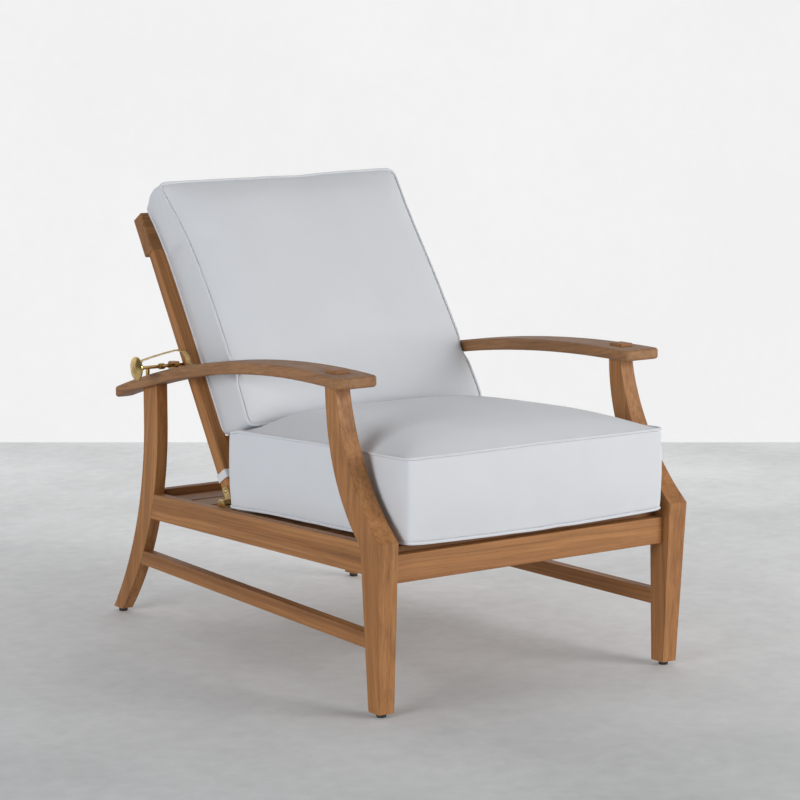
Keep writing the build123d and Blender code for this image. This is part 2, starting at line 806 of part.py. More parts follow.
def add_frame(nodes):
    leg, rear_leg, arm = make_front_leg(), make_rear_leg(), make_arm()
    over = above_arm_under()
    bracket = make_bracket()
    mortise = make_tenon(arm_crown + plug_height)
    tenon = make_tenon(arm_top(neck_front) - tenon_short)
    legs = (leg, rear_leg)
    rail, rail_key = make_side_board(side_rail_outline(), side_rail_outline(rail_tongue_shoulder),
                                     rail_rear_y, legs, rail_front_y - rail_reach, rail_rear_y + rail_reach)
    bar, bar_key = make_side_board(stretcher_outline(), stretcher_outline(rail_tongue), stretcher_rear_y,
                                   legs, rail_front_y - rail_reach, stretcher_rear_y + stretcher_reach)
    front, front_key = make_cross_rail(leg_inner, front_rail_face, front_rail_thickness, front_rail_top,
                                       front_rail_depth, rail_reach)
    rear, rear_key = make_cross_rail(rear_leg_inner, rear_rail_face, rear_rail_thickness, rear_rail_top,
                                     rear_rail_depth, rear_rail_reach)
    post, rack, strap = make_post(), make_rack(), make_strap()
    hinge_screws, arm_screws = bracket_screws(), rack_screws()
    glides = make_glides()

    pair("front_leg", without(leg, over, rail_key, bar_key, front_key, glides[0]) + tenon, nodes)
    pair("rear_leg", without(rear_leg, over, rail_key, bar_key, rear_key, glides[1]), nodes)
    pair("arm", without(arm, mortise, post, *arm_screws), nodes)
    pair("tenon_plug", make_plug(), nodes)
    pair("side_rail", without(rail, *hinge_screws), nodes)
    pair("side_stretcher", bar, nodes)
    nodes["front_rail"] = front
    nodes["rear_rail"] = rear
    pair("hinge_bracket", without(bracket, *hinge_screws), nodes)
    pair("rack", without(rack, post, arm_screws[0]), nodes)
    pair("guard_strap", without(strap, *arm_screws[1:]), nodes)
    nodes["bracket_screws"] = both(hinge_screws)
    nodes["arm_screws"] = both(arm_screws)
    nodes["stop_posts"] = both([post])
    nodes["glides"] = both(glides)


def add_deck(nodes):
    under = slat_drop + slat_thickness
    cleat = toed(deck_outline(rail_front_y + slat_play, deck_rear, under, cleat_depth), rail_thickness,
                 rail_thickness + cleat_width, rail_rear_y)
    notch = toed(bracket_outline(slat_play), rail_thickness - slat_play,
                 rail_thickness + bracket_thickness + slat_play, rail_rear_y)
    slats, pitch = make_slats()
    screws = []
    for number, slat in enumerate(slats):
        y = deck_front + number * pitch + (pitch - slat_gap) / 2
        spot = (board_inner(y) - cleat_width / 2, y, rail_top(y) - slat_drop)
        screws.append(sunk_screw(spot, (0, -sin(radians(seat_tilt)), -cos(radians(seat_tilt)))))
    cleat = without(cleat, notch, *screws)
    for number, slat in enumerate(slats):
        hole = screws[number]
        nodes["seat_slat_%02d" % (number + 1)] = without(slat, notch, mirror(notch, Plane.YZ), hole,
                                                         mirror(hole, Plane.YZ))
    pair("slat_cleat", cleat, nodes)
    nodes["slat_screws"] = both(screws)
    nodes["seat_cushion"] = make_seat_cushion()


def add_back(nodes):
    stile, key = make_stile()
    leaf, screws = make_leaf(), leaf_screws()
    lower, slats = make_back_panel()
    head = without(make_head(), key, mirror(key, Plane.YZ), *slats)
    pair("back_stile", without(stile, *screws), nodes)
    nodes["head_rail"] = head
    nodes["lower_back_rail"] = without(lower, *slats)
    for number, slat in enumerate(slats):
        nodes["back_slat_%d" % (number + 1)] = slat
    pair("hinge_leaf", without(leaf, *screws), nodes)
    nodes["leaf_screws"] = both(screws)
    pair("cushion_tie", without(make_tie(), stile), nodes)
    nodes["back_cushion"] = make_back_cushion()


def add_bar(nodes):
    nodes["recline_bar"] = make_bar()
    pair("bar_shoe", make_shoe(), nodes)
    pair("end_disc", make_disc(), nodes)
    nodes["bar_collars"] = both([make_collar()])


nodes = {}
add_frame(nodes)
add_deck(nodes)
add_back(nodes)
add_bar(nodes)

box = Compound([solid for node in nodes.values() for solid in node.solids()]).bounding_box()
middle = box.center().Y
os.makedirs("parts", exist_ok=True)
for name, shape in nodes.items():
    shape = Pos(0, -middle, 0) * shape
    shape.label = name
    export_step(shape, "parts/" + name + ".step")
print(len(nodes), "nodes, size", box.size, "datum moved by", -middle)
print("pivot", pivot_y - middle, pivot_z, "bar", bar_y - middle, bar_z)
print("slide", bar_end_y - bar_y, -bar_drop)
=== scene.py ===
import bpy
import bmesh
import json
import math
import random
from mathutils import Matrix, Vector
from mathutils.bvhtree import BVHTree
from mathutils.kdtree import KDTree


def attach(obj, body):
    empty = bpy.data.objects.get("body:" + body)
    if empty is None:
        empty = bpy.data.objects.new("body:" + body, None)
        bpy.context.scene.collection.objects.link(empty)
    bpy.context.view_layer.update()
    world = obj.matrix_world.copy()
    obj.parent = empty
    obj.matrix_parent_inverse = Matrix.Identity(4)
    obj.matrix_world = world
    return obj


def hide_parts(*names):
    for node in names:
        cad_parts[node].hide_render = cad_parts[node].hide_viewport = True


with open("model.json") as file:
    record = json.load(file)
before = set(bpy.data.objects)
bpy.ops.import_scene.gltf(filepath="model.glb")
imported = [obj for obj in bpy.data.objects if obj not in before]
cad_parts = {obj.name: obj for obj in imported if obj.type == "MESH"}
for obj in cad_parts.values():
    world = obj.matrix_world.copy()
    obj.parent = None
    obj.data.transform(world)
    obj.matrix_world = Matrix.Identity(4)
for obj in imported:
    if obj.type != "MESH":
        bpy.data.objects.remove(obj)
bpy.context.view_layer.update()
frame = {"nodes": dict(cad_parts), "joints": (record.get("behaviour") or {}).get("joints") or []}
print("frame loaded")

scene = bpy.context.scene
middleY = -0.1467959  # from y as it was drawn to y in the frame
lean = math.radians(31.9)  # the stiles, from upright


def newObject(name, data):
    obj = bpy.data.objects.new(name, data)
    scene.collection.objects.link(obj)
    return obj


# An input is named as on the node, with _ for a space, or i0, i1 and so on by its number
def wire(tree, node, **inputs):
    for key, value in inputs.items():
        name = key.replace("_", " ")
        socket = node.inputs[name] if name in node.inputs else node.inputs[int(key[1:])]
        if isinstance(value, bpy.types.NodeSocket):
            tree.links.new(value, socket)
        else:
            socket.default_value = value


def add(tree, kind, settings=None, **inputs):
    node = tree.nodes.new(kind)
    for key, value in (settings or {}).items():
        setattr(node, key, value)
    wire(tree, node, **inputs)
    return node


def calc(tree, operation, a, b=0):
    return add(tree, "ShaderNodeMath", {"operation": operation}, i0=a, i1=b).outputs[0]


def ramp(tree, fac, stops):
    # A stop is its place with a colour or a grey
    node = add(tree, "ShaderNodeValToRGB", i0=fac)
    elements = node.color_ramp.elements
    while len(elements) < len(stops):
        elements.new(0.5)
    for element, (place, tone) in zip(elements, stops):
        element.position = place
        element.color = (*tone, 1) if isinstance(tone, tuple) else (tone, tone, tone, 1)
    return node.outputs[0]


def mixColour(tree, share, a, b, blend="MIX"):
    a, b = [(*tone, 1) if isinstance(tone, tuple) else tone for tone in (a, b)]
    return add(tree, "ShaderNodeMix", {"data_type": "RGBA", "blend_type": blend}, i0=share, i6=a, i7=b).outputs[2]


def noise(tree, place, scale, detail=2.0, roughness=0.5):
    # A scale for each axis stretches the pattern
    if isinstance(scale, tuple):
        place, scale = add(tree, "ShaderNodeMapping", Vector=place, Scale=scale).outputs[0], 1.0
    return add(tree, "ShaderNodeTexNoise", Vector=place, Scale=scale, Detail=detail, Roughness=roughness)


def wander(tree, place, scale, amount):
    # Moves the coordinates about a little, so that no line runs dead straight
    drift = noise(tree, place, scale).outputs["Color"]
    offset = add(tree, "ShaderNodeVectorMath", {"operation": "SCALE"}, i0=drift, Scale=amount).outputs[0]
    return add(tree, "ShaderNodeVectorMath", {"operation": "ADD"}, i0=place, i1=offset).outputs[0]


def newMaterial(name):
    mat = bpy.data.materials.new(name)
    mat.use_nodes = True
    tree = mat.node_tree
    tree.nodes.clear()
    shader = add(tree, "ShaderNodeBsdfPrincipled")
    add(tree, "ShaderNodeOutputMaterial", Surface=shader.outputs[0])
    return mat, tree, shader


def emboss(tree, shader, height, look, **normal):
    bump = add(tree, "ShaderNodeBump", Strength=look["bump"], Distance=look["depth"], Height=height, **normal)
    wire(tree, shader, Normal=bump.outputs[0])


# Each pattern is a noise: its scale along the grain and across it, its detail and its roughness.
# Each layer is the stops that a pattern is read through, and the share by which it darkens the wood.
teakLook = dict(
    dark=(0.200, 0.079, 0.024), mid=(0.300, 0.127, 0.040), light=(0.350, 0.156, 0.052), pale=(0.42, 0.205, 0.078),
    weathered=(0.16, 0.125, 0.09), ringStops=(0.22, 0.40, 0.58, 0.80), cloudTones=(0.92, 1.07),
    drift=0.022, driftScale=(2.2, 9, 9),
    rings=((0.45, 50, 50), 3.0, 0.55), lines=((0.9, 200, 200), 2.0, 0.5), fibres=((4, 380, 380), 3.0, 0.6),
    pores=((45, 1100, 1100), 1.0, 0.5), cloud=((3.5, 14, 14), 2.0, 0.5),
    lineLayer=([(0.30, 0.72), (0.47, 0.97), (0.68, 1.12)], 0.75),
    fibreLayer=([(0.32, 0.80), (0.52, 1.0), (0.70, 1.10)], 0.8), poreLayer=([(0.27, 0.62), (0.36, 1.0)], 0.6),
    dull=0.66, smooth=0.46, specular=0.35, bump=0.22, depth=0.0006, fibreDepth=0.6, poreDepth=0.5,
    edge=0.0014, edgeSamples=4)


def teak(name, grain, seed, tone=0.0, grey=0.0):
    # grain is the way the fibres run; the pattern is turned so that they run along local X
    look = teakLook
    mat, tree, shader = newMaterial(name)
    turn = Vector((1, 0, 0)).rotation_difference(Vector(grain)).inverted().to_euler()
    rnd = random.Random(seed)
    shift = [rnd.uniform(-3, 3) for _ in range(3)]
    place = add(tree, "ShaderNodeTexCoord").outputs["Object"]
    turned = add(tree, "ShaderNodeMapping", Vector=place, Rotation=turn, Location=shift).outputs[0]
    bent = wander(tree, turned, look["driftScale"], look["drift"])
    rings, lines, fibres, pores = [noise(tree, bent, *look[key]).outputs[0]
                                   for key in ("rings", "lines", "fibres", "pores")]
    cloud = noise(tree, turned, *look["cloud"]).outputs[0]
    base = ramp(tree, rings, list(zip(look["ringStops"], [look[key] for key in ("dark", "mid", "light", "pale")])))
    # tone moves the whole piece lighter or darker; for some pieces it is painted shade
    clouds = [(stop, level + tone) for stop, level in zip((0.3, 0.7), look["cloudTones"])]
    for pattern, (stops, share) in ((lines, look["lineLayer"]), (fibres, look["fibreLayer"]),
                                    (pores, look["poreLayer"]), (cloud, (clouds, 1.0))):
        base = mixColour(tree, share, base, ramp(tree, pattern, stops), "MULTIPLY")
    if grey:
        base = mixColour(tree, grey, base, look["weathered"])
    wire(tree, shader, Base_Color=base, Specular_IOR_Level=look["specular"],
         Roughness=ramp(tree, fibres, [(0.3, look["dull"]), (0.7, look["smooth"])]))
    height = calc(tree, "ADD", calc(tree, "MULTIPLY", fibres, look["fibreDepth"]),
                  calc(tree, "MULTIPLY", pores, look["poreDepth"]))
    eased = add(tree, "ShaderNodeBevel", {"samples": look["edgeSamples"]}, Radius=look["edge"]).outputs[0]
    emboss(tree, shader, height, look, Normal=eased)
    return mat


metals = {
    "brass": dict(clean=(0.80, 0.58, 0.24), dirty=(0.50, 0.33, 0.12), roughness=0.13, seed=1),
    "screw brass": dict(clean=(0.52, 0.40, 0.21), dirty=(0.24, 0.17, 0.09), roughness=0.34, seed=3),
    "shoe bronze": dict(clean=(0.62, 0.35, 0.14), dirty=(0.32, 0.17, 0.07), roughness=0.26, seed=5),
}
metalLook = dict(patches=(70.0, 4.0, 0.6), scratches=(120, 1500, 900), tarnish=[(0.36, 1.0), (0.62, 0.0)],
                 dirtRoughness=0.13, scratchRoughness=1.6, bump=0.12, depth=0.0003)


def metal(name, clean, dirty, roughness, seed):
    look = metalLook
    mat, tree, shader = newMaterial(name)
    place = add(tree, "ShaderNodeTexCoord").outputs["Object"]
    moved = add(tree, "ShaderNodeMapping", Vector=place, Location=(seed * 0.7, seed * 0.3, 0)).outputs[0]
    scratch = noise(tree, moved, look["scratches"]).outputs[0]
    mask = ramp(tree, noise(tree, moved, *look["patches"]).outputs[0], look["tarnish"])
    rough = calc(tree, "ADD", calc(tree, "MULTIPLY", mask, look["dirtRoughness"]),
                 calc(tree, "MULTIPLY", scratch, roughness * look["scratchRoughness"]))
    wire(tree, shader, Base_Color=mixColour(tree, mask, clean, dirty), Roughness=rough, Metallic=1.0)
    emboss(tree, shader, scratch, look)
    return mat


plasticLook = dict(colour=(0.013, 0.013, 0.014), worn=2.4, speck=900.0, scuff=120.0, detail=3.0,
                   wear=(0.45, 0.75), roughness=[(0.4, 0.42), (0.7, 0.62)], bump=0.2, depth=0.0002)


def plastic(name, look):
    mat, tree, shader = newMaterial(name)
    place = add(tree, "ShaderNodeTexCoord").outputs["Object"]
    speck, scuff = [noise(tree, place, look[key], look["detail"]).outputs[0] for key in ("speck", "scuff")]
    worn = tuple(c * look["worn"] for c in look["colour"])
    wire(tree, shader, Base_Color=ramp(tree, scuff, list(zip(look["wear"], (look["colour"], worn)))),
         Roughness=ramp(tree, scuff, look["roughness"]))
    emboss(tree, shader, speck, look)
    return mat


canvases = {
    "cushion canvas": dict(colour=(0.655, 0.675, 0.71), thread=0.00075, bump=0.10),
    "piping canvas": dict(colour=(0.655, 0.675, 0.71), thread=0.00075, bump=0.16),
    "tie tape": dict(colour=(0.70, 0.71, 0.73), thread=0.0011, bump=0.3),
}
weaveLook = dict(wanderScale=60.0, wander=0.7, slubs=(40, 900, 40), clouds=(7.0, 4.0), cloudDark=0.965,
                 gaps=[(0.0, 0.9), (0.7, 1.0)], gapShare=0.5, roughness=0.86, specular=0.25, sheen=0.18,
                 sheenRoughness=0.5, weaveDepth=0.35, threadDepth=0.35, slubDepth=0.5, depth=0.0005)


def canvas(name, colour, thread, bump):
    # Plain weave: two sets of threads that pass over and under each other
    look = dict(weaveLook, bump=bump)
    mat, tree, shader = newMaterial(name)
    place = add(tree, "ShaderNodeTexCoord").outputs["UV"]
    moved = wander(tree, place, look["wanderScale"], thread * look["wander"])
    parts = add(tree, "ShaderNodeSeparateXYZ", Vector=moved).outputs
    along, across = [calc(tree, "SINE", calc(tree, "MULTIPLY", parts[n], math.pi / thread)) for n in (0, 1)]
    weave = calc(tree, "MULTIPLY", along, across)
    threads = calc(tree, "ADD", calc(tree, "ABSOLUTE", along), calc(tree, "ABSOLUTE", across))
    slub = noise(tree, place, look["slubs"]).outputs[0]
    cloud = noise(tree, place, *look["clouds"]).outputs[0]
    tone = ramp(tree, cloud, [(0.3, tuple(c * look["cloudDark"] for c in colour)), (0.7, colour)])
    shade = ramp(tree, calc(tree, "MULTIPLY", threads, 0.5), look["gaps"])
    wire(tree, shader, Base_Color=mixColour(tree, look["gapShare"], tone, shade, "MULTIPLY"),
         Roughness=look["roughness"], Specular_IOR_Level=look["specular"], Sheen_Weight=look["sheen"],
         Sheen_Roughness=look["sheenRoughness"])
    height = calc(tree, "ADD", calc(tree, "MULTIPLY", weave, look["weaveDepth"]),
                  calc(tree, "MULTIPLY", threads, look["threadDepth"]))
    height = calc(tree, "ADD", height, calc(tree, "MULTIPLY", slub, look["slubDepth"]))
    emboss(tree, shader, height, look)
    return mat


brass, screwBrass, bronze = [metal(name, **look) for name, look in metals.items()]
blackPlastic = plastic("glide plastic", plasticLook)
cushionCloth, pipingCloth, tapeCloth = [canvas(name, **look) for name, look in canvases.items()]
print("materials made")

# The way the wood runs in each kind of piece, as seen on the right; the left is mirrored
upStile = (0, math.sin(lean), math.cos(lean))
grains = {
    "front_leg": (0, 0.05, 1), "rear_leg": (0, 0.12, -1), "arm": (0.03, 1, -0.16), "tenon_plug": (1, 0, 0),
    "front_rail": (1, 0, 0), "rear_rail": (1, 0, 0), "side_rail": (0.04, -1, 0.045),
    "side_stretcher": (0.04, -1, 0), "seat_slat": (1, 0, 0), "slat_cleat": (0.04, -1, 0.045),
    "back_stile": upStile, "head_rail": (1, 0, 0), "lower_back_rail": (1, 0, 0), "back_slat": upStile,
}
# Each piece's tone offset. Those of the seat slats and their cleats are painted shade for the shadow under the seat
# cushion, and that of the head rail is painted shade for the dimmer light that falls on it.
tonesAndPaintedShade = {"front_leg": 0.02, "rear_leg": 0.10, "arm": -0.04, "seat_slat": -0.18, "slat_cleat": -0.18,
         "rear_rail": -0.10, "front_rail": 0.09, "side_rail": 0.04, "back_stile": 0.20, "head_rail": -0.20}
greys = {"arm": 0.22}
firstSeed = 11

for number, (name, node) in enumerate(sorted(frame["nodes"].items())):
    stem = next((s for s in grains if name.startswith(s)), None)
    if stem:
        grain = Vector(grains[stem])
        if name.endswith("_left"):
            grain.x = -grain.x
        mat = teak("teak " + name, grain, firstSeed + number, tonesAndPaintedShade.get(stem, 0.0), greys.get(stem, 0.0))
    elif name == "glides":
        mat = blackPlastic
    elif name.startswith("bar_shoe"):
        mat = bronze
    elif "screws" in name:
        mat = screwBrass
    elif name.startswith("cushion_tie"):
        mat = tapeCloth
    elif name.endswith("_cushion"):
        mat = cushionCloth
    else:
        mat = brass
    node.data.materials.clear()
    node.data.materials.append(mat)
print("finishes set")


def boxedCushion(name, look):
    # A box of even quads, shaped by its outline, crown and draw-in; returns the object and its two seam loops
    width, length = look["halfWidths"][1], look["halfLength"]
    ns, nt, nh = look["cells"]
    base, face = look["base"], look["face"]

    def between(pair, share):
        return pair[0] * (1 - share) + pair[1] * share

    def outline(u, v, w):
        s, t = u * width, v * length
        corner = look["corners"][v > 0]
        dx, dy = abs(s) - (width - corner), abs(t) - (length - corner)
        if dx > 0 and dy > 0:
            scale = max(dx, dy) / math.hypot(dx, dy)
            s = math.copysign(width - corner + dx * scale, s)
            t = math.copysign(length - corner + dy * scale, t)
        a, b = s / width, t / length
        half = between(look["halfWidths"], w) + between(look["flares"], w) * max(0, b) ** look["flarePower"]
        draw = between(look["sideDraws"], w)
        s = a * (half - draw * max(0, 1 - b * b) ** look["drawPower"])
        t -= look["endDraw"] * b * max(0, 1 - a * a) ** look["drawPower"]
        return s, t + look["skew"] * u * max(0, v)

    def place(i, j, k):
        u, v, w = 2 * i / ns - 1, 2 * j / nt - 1, k / nh
        s, t = outline(u, v, w)
        puff = math.sin(math.pi * w)
        fade, power = look["puffFade"], look["puffPower"]
        if abs(u) == 1:
            s += math.copysign(look["sidePuffs"][v > 0.5] * puff * (1 - fade * v ** power), u)
        if abs(v) == 1:
            t += math.copysign(look["endPuffs"][v > 0] * puff * (1 - fade * u ** power), v)
        share = (t / length + 1) / 2
        low = Vector(base[0]).lerp(Vector(base[1]), share)
        low.y -= look["baseSag"] * (1 - u * u)
        high = Vector(face[0]).lerp(Vector(face[1]), share)
        high += (high - low).normalized() * look["faceBow"] * (1 - (2 * share - 1) ** 2)
        point = low.lerp(high, w)
        up = (high - low).normalized()
        rise = max(0, 1 - abs(u) ** look["crownPowers"][0]) * max(0, 1 - abs(v) ** look["crownPowers"][1])
        rise = rise ** look["crownRound"]
        if k == nh:
            point += up * look["faceCrown"] * rise
        elif k == 0:
            point -= up * look["baseCrown"] * rise
        return Vector((s, point.x, point.y))

    mesh = bpy.data.meshes.new(name)
    bm = bmesh.new()
    uvLayer = bm.loops.layers.uv.new("UVMap")
    verts = {}

    def quad(keys, uvs):
        for key in keys:
            if key not in verts:
                verts[key] = bm.verts.new(place(*key))
        f = bm.faces.new([verts[key] for key in keys])
        f.smooth = True
        for loop, uv in zip(f.loops, uvs):
            loop[uvLayer].uv = uv

    # Two opposite walls at a time, each with the way round that its quads go
    du, dv, dw = 2 * width / ns, 2 * length / nt, look["thick"] / nh
    onward, reverse = (0, 1, 2, 3), (0, 3, 2, 1)
    pairs = [(ns, nt, du, dv, [(lambda i, j: (i, j, nh), onward), (lambda i, j: (i, j, 0), reverse)]),
             (ns, nh, du, dw, [(lambda i, k: (i, 0, k), onward), (lambda i, k: (i, nt, k), reverse)]),
             (nt, nh, dv, dw, [(lambda j, k: (0, j, k), reverse), (lambda j, k: (ns, j, k), onward)])]
    for rows, columns, rowSize, columnSize, walls in pairs:
        for a in range(rows):
            for b in range(columns):
                square = [(a, b), (a + 1, b), (a + 1, b + 1), (a, b + 1)]
                for key, order in walls:
                    turned = [square[n] for n in order]
                    quad([key(*c) for c in turned], [(c[0] * rowSize, c[1] * columnSize) for c in turned])
    bmesh.ops.recalc_face_normals(bm, faces=bm.faces)
    bm.verts.index_update()
    ring = [(i, 0) for i in range(ns)] + [(ns, j) for j in range(nt)]
    ring += [(i, nt) for i in range(ns, 0, -1)] + [(0, j) for j in range(nt, 0, -1)]
    seams = [[verts[(i, j, k)].index for i, j in ring] for k in (0, nh)]
    bm.to_mesh(mesh)
    bm.free()
    return newObject(name, mesh), seams


clothLook = dict(quality=4, mass=0.25, stiffness=18, shearShare=0.5, bending=0.6, pressure=4.0, pin=0.6, frames=20)


def puffUp(obj, seams, look):
    # Air pressure in the cover, with the seams held a little, then the movement is capped
    before = [v.co.copy() for v in obj.data.vertices]
    pins = obj.vertex_groups.new(name="seams")
    pins.add(seams[0] + seams[1], look["seamHold"], "REPLACE")
    cloth = obj.modifiers.new("Cloth", "CLOTH")
    settings = cloth.settings
    settings.quality = clothLook["quality"]
    settings.mass = clothLook["mass"]
    settings.tension_stiffness = settings.compression_stiffness = clothLook["stiffness"]
    settings.shear_stiffness = clothLook["stiffness"] * clothLook["shearShare"]
    settings.bending_stiffness = clothLook["bending"]
    settings.use_pressure = True
    settings.uniform_pressure_force = clothLook["pressure"]
    settings.vertex_group_mass = "seams"
    settings.pin_stiffness = clothLook["pin"]
    settings.effector_weights.gravity = 0
    cloth.point_cache.frame_start, cloth.point_cache.frame_end = 1, clothLook["frames"]
    scene.frame_start, scene.frame_end = 1, clothLook["frames"]
    for number in range(1, clothLook["frames"] + 1):
        scene.frame_set(number)
        bpy.context.view_layer.update()
    shaped = obj.evaluated_get(bpy.context.evaluated_depsgraph_get())
    after = [v.co.copy() for v in shaped.data.vertices]
    obj.modifiers.remove(cloth)
    scene.frame_set(1)
    moves = []
    for old, new in zip(before, after):
        move = new - old
        moves.append(move if move.length < look["cap"] else move.normalized() * look["cap"])
    # The cover is held evenly by its filling, so each move is shared with the neighbours
    near = [[] for _ in moves]
    for edge in obj.data.edges:
        a, b = edge.vertices
        near[a].append(b)
        near[b].append(a)
    for _ in range(look["evenRounds"]):
        moves = [(move + sum((moves[n] for n in others), Vector()) / len(others)) / 2
                 for move, others in zip(moves, near)]
    for v, old, move in zip(obj.data.vertices, before, moves):
        v.co = old + move * Vector((look["sideShare"], 1, 1))


# Each wave is how often it comes along a seam and how high it is
gatherLook = dict(waves=((13, 0.5), (29, 0.9), (47, 0.7), (71, 0.4)), peak=0.006, round=6.283, phases=6.28)


def pucker(obj, seams, look):
    # Small gathers that start at the seams, are highest a little way in and fade out
    rnd = random.Random(look["seed"])
    verts = obj.data.vertices
    loops = [[verts[i].co.copy() for i in seam] for seam in seams]
    normals = [v.normal.copy() for v in verts]
    tree = KDTree(sum(len(loop) for loop in loops))
    heights = []
    for loop in loops:
        phase = [rnd.uniform(0, gatherLook["phases"]) for _ in gatherLook["waves"]]
        for n, point in enumerate(loop):
            share = n / len(loop) * gatherLook["round"]
            heights.append(sum(math.sin(share * f + p) * a for (f, a), p in zip(gatherLook["waves"], phase)))
            tree.insert(point, len(heights) - 1)
    tree.balance()
    peak = gatherLook["peak"]
    for v, normal in zip(verts, normals):
        _, index, far = tree.find(v.co)
        if far < peak:
            fade = far / peak * math.exp(1 - far / peak)
        else:
            fade = math.exp(-(far - peak) / look["puckerReach"])
        v.co += normal * heights[index] * look["pucker"] * fade
    obj.data.update()


def newTree(name, inputs):
    # inputs gives the names of the sockets of each kind
    tree = bpy.data.node_groups.new(name, "GeometryNodeTree")
    for kind, names in inputs.items():
        for socket in names:
            tree.interface.new_socket(socket, in_out="INPUT", socket_type="NodeSocket" + kind)
    tree.interface.new_socket("Geometry", in_out="OUTPUT", socket_type="NodeSocketGeometry")
    return tree, add(tree, "NodeGroupInput").outputs


def endTree(tree, shape, material):
    real = add(tree, "GeometryNodeRealizeInstances", i0=shape)
    paint = add(tree, "GeometryNodeSetMaterial", Geometry=real.outputs[0], Material=material)
    add(tree, "NodeGroupOutput", i0=paint.outputs[0])


def runTree(obj, tree, values):
    # Sets the inputs by their identifiers and turns the result into a plain mesh
    mod = obj.modifiers.new("nodes", "NODES")
    mod.node_group = tree
    for item in tree.interface.items_tree:
        if item.item_type == "SOCKET" and item.in_out == "INPUT" and item.name in values:
            mod[item.identifier] = values[item.name]
    depsgraph = bpy.context.evaluated_depsgraph_get()
    made = bpy.data.meshes.new_from_object(obj.evaluated_get(depsgraph), depsgraph=depsgraph)
    obj.modifiers.remove(mod)
    obj.data = made


def pipingTree():
    # Sweeps a round cord along the seam loop
    tree, start = newTree("pipingTree", {"Geometry": ["Geometry"], "Float": ["Radius", "Step"], "Int": ["Sides"],
                                         "Material": ["Material"]})
    curve = add(tree, "GeometryNodeMeshToCurve", Mesh=start["Geometry"])
    even = add(tree, "GeometryNodeResampleCurve", {"mode": "LENGTH"}, Curve=curve.outputs[0], Length=start["Step"])
    circle = add(tree, "GeometryNodeCurvePrimitiveCircle", Radius=start["Radius"], Resolution=start["Sides"])
    sweep = add(tree, "GeometryNodeCurveToMesh", Curve=even.outputs[0], Profile_Curve=circle.outputs[0])
    smooth = add(tree, "GeometryNodeSetShadeSmooth", i0=sweep.outputs[0])
    endTree(tree, smooth.outputs[0], start["Material"])
    return tree


pipingLook = dict(radius=0.0030, step=0.004, sides=12, evenRounds=2)
piping = pipingTree()


def addPiping(name, cushion, seam, look, body):
    verts = cushion.data.vertices
    points = [verts[i].co + verts[i].normal * look["pipingOut"] for i in seam]
    # Smoothing takes the grid's small steps out of the cord
    for _ in range(pipingLook["evenRounds"]):
        points = [(points[n - 1] + points[n] * 2 + points[(n + 1) % len(points)]) / 4 for n in range(len(points))]
    mesh = bpy.data.meshes.new(name)
    mesh.from_pydata(points, [(n, (n + 1) % len(points)) for n in range(len(points))], [])
    obj = newObject(name, mesh)
    runTree(obj, piping, {"Radius": pipingLook["radius"], "Step": pipingLook["step"],
                          "Sides": pipingLook["sides"], "Material": pipingCloth})
    uvAlong(obj, pipingLook)
    # The normals of the sweep are made to point out
    bm = bmesh.new()
    bm.from_mesh(obj.data)
    bmesh.ops.remove_doubles(bm, verts=bm.verts, dist=1e-6)
    bmesh.ops.recalc_face_normals(bm, faces=bm.faces)
    bm.to_mesh(obj.data)
    bm.free()
    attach(obj, body)


def uvAlong(obj, look):
    # Length along the cord and way round it, in metres
    mesh = obj.data
    sides, across = look["sides"], 2 * math.pi * look["radius"] / look["sides"]
    layer = mesh.uv_layers[0] if mesh.uv_layers else mesh.uv_layers.new(name="UVMap")
    for poly in mesh.polygons:
        rings = [mesh.loops[l].vertex_index // sides for l in poly.loop_indices]
        spots = [mesh.loops[l].vertex_index % sides for l in poly.loop_indices]
        for l, ring, spot in zip(poly.loop_indices, rings, spots):
            if spot == 0 and max(spots) == sides - 1:
                spot = sides
            if ring == 0 and max(rings) > 1:
                ring = max(rings) + 1
            layer.data[l].uv = (ring * look["step"], spot * across)


def keepOut(obj, blocks):
    # Each block is a list of planes (y, z, normal y, normal z) whose normals point out of it
    for v in obj.data.vertices:
        for block in blocks:
            depths = [((y - v.co.y) * ny + (z - v.co.z) * nz, ny, nz) for y, z, ny, nz in block]
            depth, ny, nz = min(depths)
            if depth > 0:
                v.co += Vector((0, ny, nz)) * depth


def armWalls(steps):
    # The arms as the back cushion meets them at steps of its travel
    joint = next(j for j in frame["joints"] if j["name"] == "back_recline")
    pivot = Matrix.Translation(joint["pos_m"])
    trees = []
    for n in range(steps):
        angle = math.radians(joint["range_deg"][1]) * n / (steps - 1)
        back = pivot @ Matrix.Rotation(-angle, 4, Vector(joint["axis"])) @ pivot.inverted()
        for side in ("left", "right"):
            arm = frame["nodes"]["arm_" + side].data
            trees.append(BVHTree.FromPolygons([back @ v.co for v in arm.vertices],
                                              [f.vertices[:] for f in arm.polygons]))
    return trees


def keepBetween(obj, walls, gap):
    # Squeezes the sides in where an arm passes them
    for v in obj.data.vertices:
        side = math.copysign(1, v.co.x)
        for wall in walls:
            hit = wall.ray_cast(Vector((0, v.co.y, v.co.z)), Vector((side, 0, 0)), abs(v.co.x) + gap)[0]
            if hit:
                v.co.x = side * min(abs(v.co.x), abs(hit.x) - gap)


def makeCushion(name, node, look, body):
    obj, seams = boxedCushion(name, look)
    obj.data.materials.append(cushionCloth)
    puffUp(obj, seams, look)
    pucker(obj, seams, look)
    keepOut(obj, look["blocks"])
    keepBetween(obj, look["walls"], look["armGap"])
    obj.data.update()
    for n, seam in enumerate(seams):
        addPiping(name + "_piping_%d" % (n + 1), obj, seam, look, body)
    smooth = obj.modifiers.new("Subdivision", "SUBSURF")
    smooth.levels = smooth.render_levels = 1
    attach(obj, body)
    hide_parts(node)
    print(name, "made")


